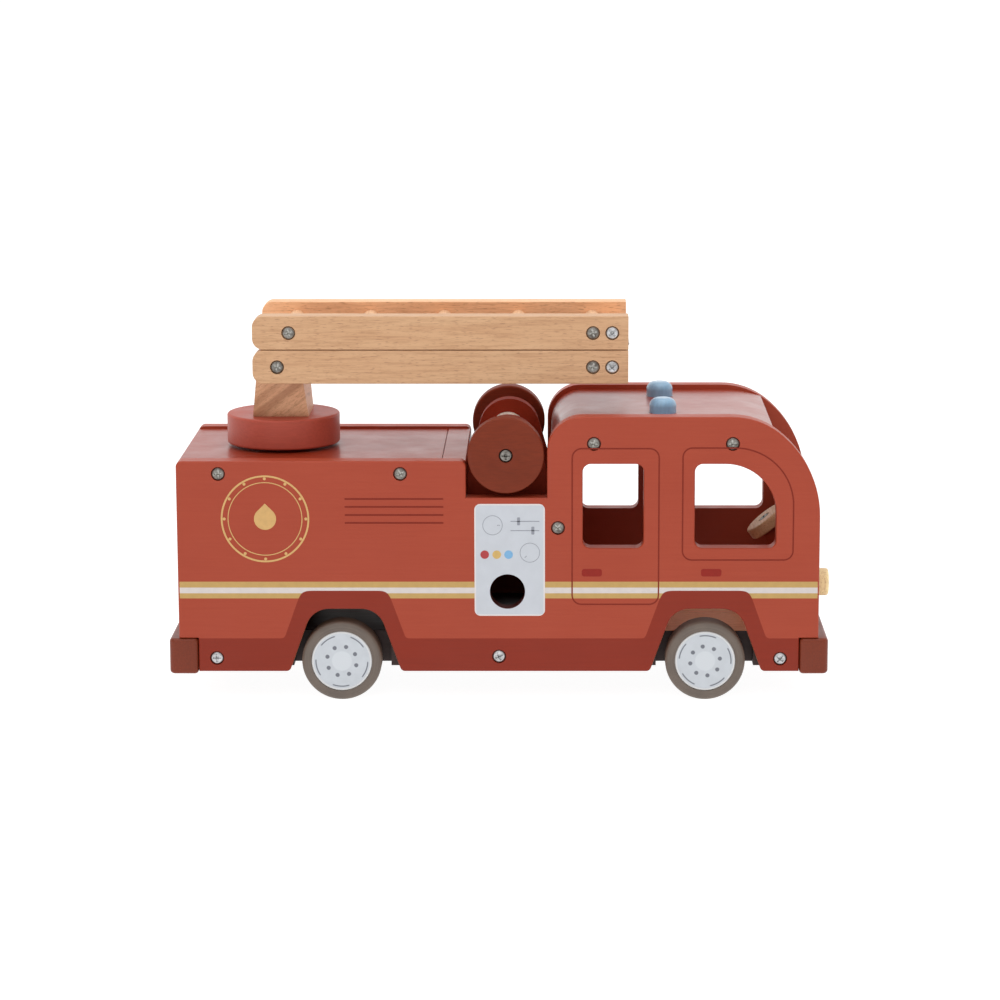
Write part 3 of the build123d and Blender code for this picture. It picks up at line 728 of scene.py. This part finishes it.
plate = {
    "box": (-12.0, 23.1, 43.6, 100.5),
    "corner": 3.0,
    "rim": 0.8,
    "hole": (4.4, 56.0, 8.8),
    "dials": ((-2.95, 89.7, 5.0, 0), (15.6, 75.8, 5.0, 225)),
    "dots": ((-6.9, 74.8), (-0.9, 74.8), (5.0, 74.8)),
    "dotRadius": 2.15,
    "sliders": ((91.7, 10.0), (87.0, 17.1)),
    "sliderSpan": (6.0, 20.4),
    "sliderLine": 0.42,
    "knob": (1.5, 4.0),
    "dialLine": 0.28,
    "pointerReach": (2.6, 3.3),
}


def plateSheet():
    # the sheet, given its thickness and then cut for the round hole
    sheet = spanPlate(plate["box"], plate["corner"])
    holeX, holeZ, holeRadius = plate["hole"]
    deselectAll()
    bpy.ops.mesh.primitive_cylinder_add(vertices=96, radius=holeRadius * mm, depth=0.01,
                                        location=(holeX * mm, holeZ * mm, 0))
    cutter = bpy.context.object
    makeActive(sheet)
    film = sheet.modifiers.new("film", "SOLIDIFY")
    film.thickness = prints["film"] * mm
    film.offset = 1.0
    bpy.ops.object.modifier_apply(modifier=film.name)
    cut = sheet.modifiers.new("hole", "BOOLEAN")
    cut.operation = "DIFFERENCE"
    cut.object = cutter
    cut.solver = "EXACT"
    bpy.ops.object.modifier_apply(modifier=cut.name)
    bpy.data.objects.remove(cutter, do_unlink=True)
    return sheet


def plateMaterial():
    material, tree, shader, coords = startMaterial("platePrint", 0.42)
    x, y, z = splitAxes(tree, coords)
    x0, x1, z0, z1 = plate["box"]
    patches = cloudy(tree, coords, 160.0)
    base = mixColour(tree, patches, shaded(prints["plate"], 0.975), tone(*prints["plate"]))

    def pastEdge(place, low, high):
        # how far past the start of the pale rim, a painted highlight along the sheet's edge, from the middle
        # outwards
        reach = (high - low) / 2 - plate["rim"]
        return subtract(tree, absolute(tree, subtract(tree, place, (low + high) / 2 * mm)), reach * mm)

    across = pastEdge(x, x0, x1)
    up = pastEdge(z, z0, z1)
    # the pale rim is a painted highlight along the sheet's edge
    rim = mapRange(tree, calc(tree, "SMOOTH_MAX", across, up, 0.002), -0.0001, 0.0003)
    tree.links.new(mixColour(tree, rim, base, tone(*prints["plateEdgeHighlight"])), shader.inputs["Base Color"])
    addBump(tree, shader, noise(tree, coords, 1200.0, 2.0), 0.00001, 0.4)
    return material


sheets = []
for side in ("right", "left"):
    sheet = plateSheet()
    sheet.name = side + "ControlPlate"
    sheet.matrix_world = standing(prints["face"])
    makeActive(sheet)
    bpy.ops.object.transform_apply(location=True, rotation=True, scale=True)
    if side == "left":
        sheet.scale = (1, -1, 1)
        bpy.ops.object.transform_apply(location=True, rotation=True, scale=True)
    sheets.append(sheet)
plateInk = plateMaterial()
for sheet in sheets:
    makeActive(sheet)
    finishPrint(sheet, plateInk, "chassis")

greyInk = inkMaterial("greyInk", prints["greyLine"])
marks = []
for dialX, dialZ, dialRadius, pointer in plate["dials"]:
    marks.append(hollow(roundPlate(dialX, dialZ, dialRadius, 64), plate["dialLine"]))
    turn = math.radians(pointer)
    for reach in plate["pointerReach"]:
        pointX = dialX + reach * math.cos(turn)
        pointZ = dialZ + reach * math.sin(turn)
        marks.append(roundPlate(pointX, pointZ, plate["dialLine"], 16))
x0, x1 = plate["sliderSpan"]
for height, knobX in plate["sliders"]:
    marks.append(facePlate((x0 + x1) / 2, height, x1 - x0, plate["sliderLine"], 0.15))
    marks.append(facePlate(knobX, height, *plate["knob"], 0.4))
printOn(marks, "PlateMarks", prints["upperFilm"], prints["film"], greyInk)
for (dotX, dotZ), name in zip(plate["dots"], ("red", "yellow", "blue")):
    dot = roundPlate(dotX, dotZ, plate["dotRadius"], 40)
    ink = inkMaterial(name + "Ink", prints[name])
    printOn([dot], name.capitalize() + "Dot", prints["upperFilm"], prints["film"], ink)
print("prints done")


# floor, light and camera
studio = {
    "floor": 0.22,
    "floorSize": 14,
    "floorGlow": 0.94,
    "worldFront": 0.5,
    "worldBack": 1.06,
    "sweepY": (-0.35, 0.1),
    "sweepZ": (0.45, 0.9),
    "camera": (28.62, -1637.73, 402.45),
    "pitch": 10.748,
    "lens": 116.64,
    "shiftX": -0.056,
    "sensor": 36,
    "clipEnd": 50,
}
deselectAll()
bpy.ops.mesh.primitive_plane_add(size=studio["floorSize"], location=(0, 0, 0))
floor = bpy.context.object
floor.name = "floor"
floorMaterial, tree, shader, coords = startMaterial("floorWhite", 0.7)
dim, pale = [studio["floor"] + change for change in (-0.01, 0.01)]
cloud = mapRange(tree, noise(tree, coords, 3.0, 2.0), 0.3, 0.7, dim, pale)
combine = tree.nodes.new("ShaderNodeCombineColor")
for place in range(3):
    tree.links.new(cloud, combine.inputs[place])
tree.links.new(combine.outputs[0], shader.inputs["Base Color"])
shader.inputs["Emission Color"].default_value = (1, 1, 1, 1)
shader.inputs["Emission Strength"].default_value = studio["floorGlow"]
floor.data.materials.append(floorMaterial)

world = bpy.data.worlds.new("studio")
bpy.context.scene.world = world
world.use_nodes = True
# a white sweep: bright behind and above the vehicle, dimmer in front of it
tree = world.node_tree
x, y, z = splitAxes(tree, tree.nodes.new("ShaderNodeTexCoord").outputs["Generated"])
sweep = calc(tree, "MAXIMUM", mapRange(tree, y, *studio["sweepY"]), mapRange(tree, z, *studio["sweepZ"]))
background = tree.nodes["Background"]
background.inputs[0].default_value = (1, 1, 1, 1)
brightness = mapRange(tree, sweep, 0.0, 1.0, studio["worldFront"], studio["worldBack"])
tree.links.new(brightness, background.inputs[1])

softBoxes = {
    "top": ((0.0, -0.25, 1.6), 1.6, 8.0),
    "front": ((-0.5, -1.9, 1.1), 1.4, 5.0),
}
for name, (place, size, power) in softBoxes.items():
    light = bpy.data.lights.new(name + "Light", "AREA")
    light.size = size
    light.energy = power
    lamp = bpy.data.objects.new(name + "Light", light)
    bpy.context.collection.objects.link(lamp)
    lamp.location = place
    direction = Matrix.Translation(place).to_translation() * -1
    lamp.rotation_euler = direction.to_track_quat("-Z", "Y").to_euler()

camera = bpy.data.cameras.new("camera")
camera.lens = studio["lens"]
camera.sensor_width = studio["sensor"]
camera.shift_x = studio["shiftX"]
camera.clip_end = studio["clipEnd"]
cameraObject = bpy.data.objects.new("camera", camera)
bpy.context.collection.objects.link(cameraObject)
cameraObject.location = [value * mm for value in studio["camera"]]
cameraObject.rotation_euler = (math.radians(90 - studio["pitch"]), 0, 0)
bpy.context.scene.camera = cameraObject
bpy.context.scene.view_settings.view_transform = "Standard"
print("stage done")
